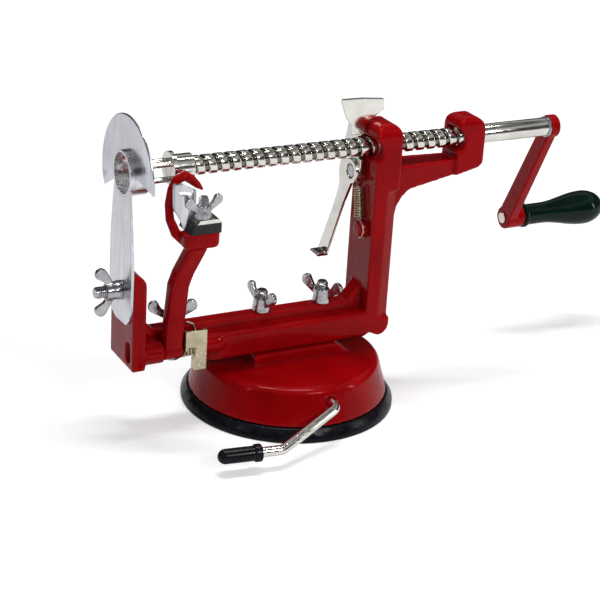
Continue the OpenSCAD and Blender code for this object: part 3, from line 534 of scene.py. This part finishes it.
def add_cast(node, skin, rounds):
    """A CAD node with soft edges and filled corners, as sand casting leaves them."""
    piece = add_piece(merged_copy(node), node + "_cast", node)
    remesh = piece.modifiers.new("skin", "REMESH")
    remesh.mode = "VOXEL"
    remesh.voxel_size = skin * MM
    soften = piece.modifiers.new("soften", "SMOOTH")
    soften.factor = 0.5
    soften.iterations = rounds
    keep_modifiers(piece)


def sharpen(mesh, limit=38):
    """Marks edges sharper than the limit, in degrees, so that faces beside them stay crisp."""
    for edge in mesh.edges:
        if len(edge.link_faces) == 2:
            edge.smooth = edge.calc_face_angle() < math.radians(limit)


def add_machined(node, bevel):
    """A CAD node with its edges broken by a small bevel, as turned and stamped parts have."""
    mesh = merged_copy(node)
    flat = math.radians(1.5)
    bmesh.ops.dissolve_limit(mesh, angle_limit=flat, verts=mesh.verts, edges=mesh.edges)
    sharpen(mesh)
    piece = add_piece(mesh, node + "_machined", node)
    round_off = piece.modifiers.new("bevel", "BEVEL")
    round_off.width = bevel * MM
    round_off.segments = 2
    round_off.limit_method = "ANGLE"
    round_off.angle_limit = math.radians(40)
    round_off.use_clamp_overlap = True
    round_off.harden_normals = True


def turned(profile, steps=64):
    """Full turn about X of a profile given as (distance along X, radius), in mm."""
    mesh = bmesh.new()
    verts = [mesh.verts.new((x * MM, r * MM, 0)) for x, r in profile]
    edges = [mesh.edges.new(pair) for pair in zip(verts, verts[1:])]
    bmesh.ops.spin(mesh, geom=verts + edges, cent=(0, 0, 0), axis=(1, 0, 0), dvec=(0, 0, 0),
                   angle=math.tau, steps=steps, use_merge=True, use_duplicate=False)
    bmesh.ops.remove_doubles(mesh, verts=mesh.verts, dist=1e-7)
    bmesh.ops.recalc_face_normals(mesh, faces=mesh.faces)
    sharpen(mesh)
    return mesh


def threaded(profile, start, pitch, turns, steps=32):
    """A profile one pitch long, wound along X. It starts on the +Y side."""
    mesh = bmesh.new()
    verts = [mesh.verts.new(((start + x) * MM, r * MM, 0)) for x, r in profile]
    edges = [mesh.edges.new(pair) for pair in zip(verts, verts[1:])]
    count = round(turns * steps)
    bmesh.ops.spin(mesh, geom=verts + edges, cent=(0, 0, 0), axis=(1, 0, 0),
                   dvec=(pitch * MM / steps, 0, 0), angle=math.tau * count / steps, steps=count,
                   use_merge=False, use_duplicate=False)
    bmesh.ops.remove_doubles(mesh, verts=mesh.verts, dist=2e-6)
    open_edges = [edge for edge in mesh.edges if edge.is_boundary]
    bmesh.ops.holes_fill(mesh, edges=open_edges, sides=0)
    bmesh.ops.recalc_face_normals(mesh, faces=mesh.faces)
    sharpen(mesh)
    return mesh


def join_into(mesh, other):
    """Adds another bmesh's faces to a mesh."""
    data = bpy.data.meshes.new("part")
    other.to_mesh(data)
    other.free()
    mesh.from_mesh(data)
    bpy.data.meshes.remove(data)


def move(mesh, matrix):
    """Moves a whole mesh by a matrix and gives it back."""
    bmesh.ops.transform(mesh, matrix=matrix, verts=mesh.verts)
    return mesh


def at(x, y, z):
    """A move to a place in mm."""
    return Matrix.Translation(Vector((x, y, z)) * MM)


def standing(x, y):
    """Turns a piece made along X to stand along Z at a place, in mm."""
    return at(x, y, 0) @ Matrix.Rotation(-math.pi / 2, 4, "Y")


def bent_rod(points, diameter, bend, sides=20, rings=8):
    """A round rod through points in mm, with an arc of the given radius at each corner."""
    points = [Vector(p) * MM for p in points]
    radius = bend * MM
    mesh = bmesh.new()
    ahead = (points[1] - points[0]).normalized()
    turn = ahead.to_track_quat("Z", "Y").to_matrix().to_4x4()
    made = bmesh.ops.create_circle(mesh, cap_ends=False, segments=sides, radius=diameter / 2 * MM,
                                   matrix=Matrix.Translation(points[0]) @ turn)
    ring = list({edge for vert in made["verts"] for edge in vert.link_edges})
    first = list(ring)
    here = points[0].copy()

    def extrude_to(place):
        nonlocal ring, here
        grown = bmesh.ops.extrude_edge_only(mesh, edges=ring)["geom"]
        verts = [item for item in grown if isinstance(item, bmesh.types.BMVert)]
        bmesh.ops.translate(mesh, vec=place - here, verts=verts)
        ring = [item for item in grown if isinstance(item, bmesh.types.BMEdge)
                and all(vert in verts for vert in item.verts)]
        here = place.copy()

    for i in range(1, len(points) - 1):
        leave = (points[i + 1] - points[i]).normalized()
        angle = ahead.angle(leave)
        reach = radius * math.tan(angle / 2)
        extrude_to(points[i] - ahead * reach)
        axis = ahead.cross(leave).normalized()
        centre = here + axis.cross(ahead) * radius
        verts = list({vert for edge in ring for vert in edge.verts})
        spun = bmesh.ops.spin(mesh, geom=verts + ring, cent=centre, axis=axis, dvec=(0, 0, 0),
                              angle=angle, steps=rings, use_merge=False, use_duplicate=False)
        last = [item for item in spun["geom_last"] if isinstance(item, bmesh.types.BMVert)]
        ring = [item for item in spun["geom_last"] if isinstance(item, bmesh.types.BMEdge)
                and all(vert in last for vert in item.verts)]
        here = points[i] + leave * reach
        ahead = leave
    extrude_to(points[-1])
    bmesh.ops.remove_doubles(mesh, verts=mesh.verts, dist=1e-7)
    ends = [edge for edge in mesh.edges if edge.is_boundary]
    bmesh.ops.holes_fill(mesh, edges=ends, sides=0)
    bmesh.ops.recalc_face_normals(mesh, faces=mesh.faces)
    sharpen(mesh, 50)
    return mesh


def coil(radius, wire, length, turns):
    """A helical wire about +Z from z = 0, in mm, with a flat face at each end."""
    steps_per_turn = 28
    mesh = bmesh.new()
    upright = Matrix.Rotation(math.pi / 2, 4, "X")
    bmesh.ops.create_circle(mesh, cap_ends=False, segments=10, radius=wire / 2 * MM,
                            matrix=at(radius, 0, 0) @ upright)
    count = round(turns * steps_per_turn)
    bmesh.ops.spin(mesh, geom=mesh.verts[:] + mesh.edges[:], cent=(0, 0, 0), axis=(0, 0, 1),
                   dvec=(0, 0, length * MM / count), angle=math.tau * turns, steps=count,
                   use_merge=False, use_duplicate=False)
    ends = [edge for edge in mesh.edges if edge.is_boundary]
    bmesh.ops.holes_fill(mesh, edges=ends, sides=0)
    bmesh.ops.recalc_face_normals(mesh, faces=mesh.faces)
    return mesh


# ---------------------------------------------------------------- the pieces

def thread_profile():
    """One pitch of the feed screw's broad square thread, as (distance, radius) in mm."""
    # Shares of the pitch and of the thread's depth, from the groove up to the crest.
    rising = ((0.135, 0), (0.155, 0.1), (0.18, 0.75), (0.21, 0.94), (0.26, 1))
    falling = tuple((1 - share, height) for share, height in reversed(rising))
    depth = CREST_R - CORE_R
    flanks = [(share * PITCH, CORE_R + depth * height) for share, height in rising + falling]
    return [(0, CORE_R)] + flanks + [(PITCH, CORE_R)]


def make_feed_screw():
    """Core with its thread, then the plain shank and the slim end in the crank."""
    turns_left_of_lever = 15
    start = JOINTS["release_swing"]["pos_m"][0] / MM - turns_left_of_lever * PITCH
    turns = (SHANK_LEFT + 0.6 - start) / PITCH - 1
    mesh = threaded(thread_profile(), start, PITCH, turns)
    shoulder = low("crank_arm").x - 0.1
    end = high("screw_shaft").x
    end_r = CREST_R - 0.9
    chamfer = 0.4
    shank = turned([
        (SHANK_LEFT, 0), (SHANK_LEFT, CREST_R - 0.3), (SHANK_LEFT + chamfer, CREST_R),
        (shoulder, CREST_R), (shoulder, end_r), (end - chamfer, end_r),
        (end, end_r - chamfer), (end, 0)])
    join_into(mesh, shank)
    add_piece(move(mesh, at(0, 0, SCREW_Z)), "feed_screw", "screw_shaft", "chrome_thread")


def make_grip():
    """Lathe-turned grip: flange at the crank, slim neck, swell and round end."""
    left = low("crank_grip").x
    length = high("crank_grip").x - left
    swell = (high("crank_grip").z - low("crank_grip").z) / 2
    neck = 5.8
    profile = [(0, 0), (0, 6.3), (0.3, 6.7), (0.9, 6.8), (1.8, 6.8), (2.3, 6.6), (2.6, 6.2)]
    profile.append((2.9, neck))
    # Shares of the length: where the flange ends, where the neck ends, where it is widest.
    flange = 0.06
    slim = 0.24
    wide = 0.76
    steps = 32
    for i in range(1, steps + 1):
        share = flange + (wide - flange) * i / steps
        rise = 0.5 - 0.5 * math.cos(math.pi * max(0, share - slim) / (wide - slim))
        profile.append((share * length, neck + (swell - neck) * rise))
    end_steps = 20
    for i in range(1, end_steps):
        angle = math.pi / 2 * i / end_steps
        share = wide + (1 - wide) * math.sin(angle)
        profile.append((share * length, swell * math.cos(angle) ** 0.9))
    profile.append((length, 0))
    mesh = turned(profile, 72)
    add_piece(move(mesh, at(left, GRIP_Y, GRIP_Z)), "crank_grip_turned", "crank_grip")


def make_lever_rod():
    """The suction lever's rod, bent smoothly where it leaves the base."""
    shaft = (0, high("lever_rod").y, 18)
    corner = (0, -54, 18)
    elbow = (-36.5, -68.6, 9)
    tip = (-64, -65, 9)
    diameter = 5
    bend = 5.5
    mesh = bent_rod([shaft, corner, elbow, tip], diameter, bend, rings=10)
    add_piece(mesh, "lever_rod_bent", "lever_rod")


def make_release_spring():
    """Close pull spring between the lever's eye and the peg, with a hook round the peg."""
    wire = 0.9
    radius = 1.8
    turns = 13
    foot = Vector((34.45, -1.4, 93.9))
    top = Vector((34.45, 1.0, 109.3))
    lean = (top - foot).to_track_quat("Z", "X").to_matrix().to_4x4()
    mesh = move(coil(radius, wire, (top - foot).length, turns), at(*foot) @ lean)
    peg_y = -2.6
    peg_z = 88.4
    peg_r = 4.2
    hook_r = peg_r + wire / 2 + 0.05
    hook = [(foot.x, foot.y + 1.2, foot.z + 0.2)]
    for degrees in (75, 40, 0, -40, -75):
        angle = math.radians(degrees)
        y = peg_y - hook_r * math.cos(angle)
        hook.append((foot.x, y, peg_z + hook_r * math.sin(angle)))
    join_into(mesh, bent_rod(hook, wire, 1.2, 10, 3))
    eye = [
        (top.x, top.y - 1.6, top.z), (top.x, top.y - 0.4, top.z + 0.5),
        (top.x, top.y + 1.4, top.z)]
    join_into(mesh, bent_rod(eye, wire, 0.5, 10, 4))
    piece = make_piece(mesh, "release_spring_wound", "release_spring")
    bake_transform(piece)


def make_arm_spring():
    """Torsion spring on the arm's pivot pin, one leg hooked over the rail."""
    pivot_y = JOINTS["arm_swing"]["pos_m"][1] / MM
    pivot_z = JOINTS["arm_swing"]["pos_m"][2] / MM
    # The catch's cheek, its clearance and half the wire.
    inset = 2.05
    left = low("arm_catch").x + inset
    right = high("arm_catch").x - inset
    wire = 1.1
    radius = 3.85
    turns = 4.5
    mesh = coil(radius, wire, right - left, turns)
    along_x = at(left, pivot_y, pivot_z) @ Matrix.Rotation(math.pi, 4, "X")
    move(mesh, along_x @ Matrix.Rotation(math.pi / 2, 4, "Y"))
    front = pivot_y - radius
    back = pivot_y + radius
    front_leg = [(left, front, pivot_z), (left, front, pivot_z + 7.4)]
    back_leg = [
        (right, back, pivot_z), (right, back, pivot_z + 7.2),
        (right - 1.4, back - 0.5, pivot_z + 10.6), (right - 4.6, back - 1, pivot_z + 12.3)]
    join_into(mesh, bent_rod(front_leg, wire, 1, 10))
    join_into(mesh, bent_rod(back_leg, wire, 2.2, 10))
    add_piece(mesh, "arm_spring_wound", "arm_spring")


def make_slicing_disc():
    """Helical cutting plate: a flat section wound through its arc, its first edge ground thin."""
    inner = 11.1
    outer = 27.95
    thick = 1.12
    left = low("slicing_disc").x
    start = math.radians(-30)
    arc = 215
    span = math.radians(arc)
    climb = PITCH * arc / 360
    steps = 72
    mesh = bmesh.new()
    section = [
        (0, inner), (0, outer - 0.5), (0.3, outer),
        (thick - 0.3, outer), (thick, outer - 0.5), (thick, inner)]
    ring = [mesh.verts.new((x * MM, r * MM, 0)) for x, r in section]
    edges = [mesh.edges.new(pair) for pair in zip(ring, ring[1:] + ring[:1])]
    tilt = Matrix.Rotation(start, 3, "X")
    bmesh.ops.rotate(mesh, verts=ring, cent=(0, 0, 0), matrix=tilt)
    bmesh.ops.spin(mesh, geom=ring + edges, cent=(0, 0, 0), axis=(1, 0, 0),
                   dvec=(climb * MM / steps, 0, 0), angle=span, steps=steps,
                   use_merge=False, use_duplicate=False)
    ends = [edge for edge in mesh.edges if edge.is_boundary]
    bmesh.ops.holes_fill(mesh, edges=ends, sides=0)
    grind(mesh, start, span, climb, thick)
    bmesh.ops.recalc_face_normals(mesh, faces=mesh.faces)
    sharpen(mesh, 30)
    add_piece(move(mesh, at(left, 0, SCREW_Z)), "slicing_disc_wound", "slicing_disc")


def grind(mesh, start, span, climb, thick):
    """Thins a wound plate towards its first edge."""
    ground_arc = math.radians(14)
    edge_share = 0.12
    for vert in mesh.verts:
        gone = math.atan2(vert.co.z, vert.co.y) - start
        if -0.01 < gone < ground_arc:
            middle = (thick / 2 + climb * gone / span) * MM
            share = edge_share + (1 - edge_share) * max(0, gone) / ground_arc
            vert.co.x = middle + (vert.co.x - middle) * share


def stud_profile(radius, pitch):
    """One pitch of a stud's thread, with a narrow flat crest."""
    root = radius - THREAD_DEPTH
    return [(0, root), (pitch * 0.42, radius), (pitch * 0.58, radius), (pitch, root)]


def threaded_stud(radius, bottom, top, thread_from, head=None):
    """A stud or bolt along X: plain shank, then a thread with a chamfered end."""
    pitch = 1.0
    root = radius - THREAD_DEPTH
    turns = (top - 0.4 - thread_from) / pitch - 1
    mesh = threaded(stud_profile(radius, pitch), thread_from, pitch, turns, 24)
    shank = [(bottom, 0), (bottom, radius - 0.2), (bottom + 0.2, radius)]
    if head:
        head_r, head_t = head
        shank = [
            (bottom - head_t, 0), (bottom - head_t, head_r * 0.6),
            (bottom - head_t * 0.75, head_r * 0.85), (bottom - head_t * 0.3, head_r),
            (bottom, head_r), (bottom, radius)]
    runout = [(thread_from + 0.8, radius), (thread_from + 1.2, root), (thread_from + 1.2, 0)]
    join_into(mesh, turned(shank + runout, 40))
    tip = [(top - 1.2, 0), (top - 1.2, root), (top - 0.5, root), (top, radius - 0.9), (top, 0)]
    join_into(mesh, turned(tip, 32))
    return mesh


def rib_thread():
    """Height where the thread starts on what stands in the beam's rib, in mm."""
    return high("base_studs").z - STUD_ABOVE_RIB + THREAD_ABOVE_RIB


def make_base_studs():
    """The two studs that hold the frame on the cap."""
    bottom = low("base_studs")
    top = high("base_studs")
    reach = (top.x - bottom.x - 2 * HEAD_R) / 2
    both = bmesh.new()
    for side in (-1, 1):
        stud = threaded_stud(STUD_R, bottom.z + HEAD_T, top.z, rib_thread(), (HEAD_R, HEAD_T))
        join_into(both, move(stud, standing(side * reach, 0)))
    add_piece(both, "base_studs_threaded", "base_studs")


def make_arm_stop_bolt():
    """The bolt that the third wing nut sits on, with its smaller head."""
    bottom = low("arm_stop_bolt")
    top = high("arm_stop_bolt")
    head = (5, 2.6)
    bolt = threaded_stud(STUD_R, bottom.z + head[1], top.z, rib_thread(), head)
    place = standing((bottom.x + top.x) / 2, 0)
    add_piece(move(bolt, place), "arm_stop_bolt_threaded", "arm_stop_bolt")


def make_clamp_stud():
    """The stud through the arm's head and the blade holder."""
    bottom = low("clamp_stud")
    top = high("clamp_stud")
    middle = (bottom + top) / 2
    stud = threaded_stud(2.5, bottom.z, top.z, top.z - 8)
    place = standing(middle.x, middle.y)
    add_piece(move(stud, place), "clamp_stud_threaded", "clamp_stud")


def make_blade_bolt():
    """The bolt through the end plate and the blade stem, its head on the inner side."""
    bottom = low("blade_bolt")
    top = high("blade_bolt")
    length = top.x - bottom.x - HEAD_T
    bolt = threaded_stud(STUD_R, 0, length, length - 10, (HEAD_R, HEAD_T))
    place = at(top.x - HEAD_T, 0, (bottom.z + top.z) / 2)
    turn = place @ Matrix.Rotation(math.pi, 4, "Z")
    add_piece(move(bolt, turn), "blade_bolt_threaded", "blade_bolt")


# Voxel size of the skin in mm, and rounds of smoothing.
CAST_PIECES = {
    "frame_casting": (0.62, 10),
    "base_cap": (0.65, 10),
    "peeler_arm": (0.36, 7),
    "crank_arm": (0.36, 11),
    "base_wing_nuts": (0.26, 9),
    "blade_wing_nut": (0.26, 9),
    "arm_stop_wing_nut": (0.26, 9),
    "clamp_wing_nut": (0.24, 8),
    "release_lever": (0.24, 12),
    "arm_catch": (0.2, 6),
    "peeler_blade": (0.16, 7),
}

# Width of the broken edges in mm.
MACHINED_PIECES = {
    "suction_pad": 0.6,
    "lever_sleeve": 0.25,
    "blade_stem": 0.25,
    "coring_ring": 0.12,
    "blade_holder": 0.35,
    "clamp_plate": 0.3,
    "drive_fork": 0.2,
    "thrust_washer": 0.15,
    "release_pivot_screw": 0.4,
    "grip_pin": 0.25,
    "arm_pivot_pin": 0.3,
    "lever_cam": 0.2,
    "suction_stem": 0.2,
}

materials = make_materials()
add_camera()
add_world()
add_floor()
add_lights()

for node, (skin, rounds) in CAST_PIECES.items():
    add_cast(node, skin, rounds)
for node, bevel in MACHINED_PIECES.items():
    add_machined(node, bevel)
make_feed_screw()
make_grip()
make_lever_rod()
make_release_spring()
make_arm_spring()
make_slicing_disc()
make_base_studs()
make_arm_stop_bolt()
make_clamp_stud()
make_blade_bolt()
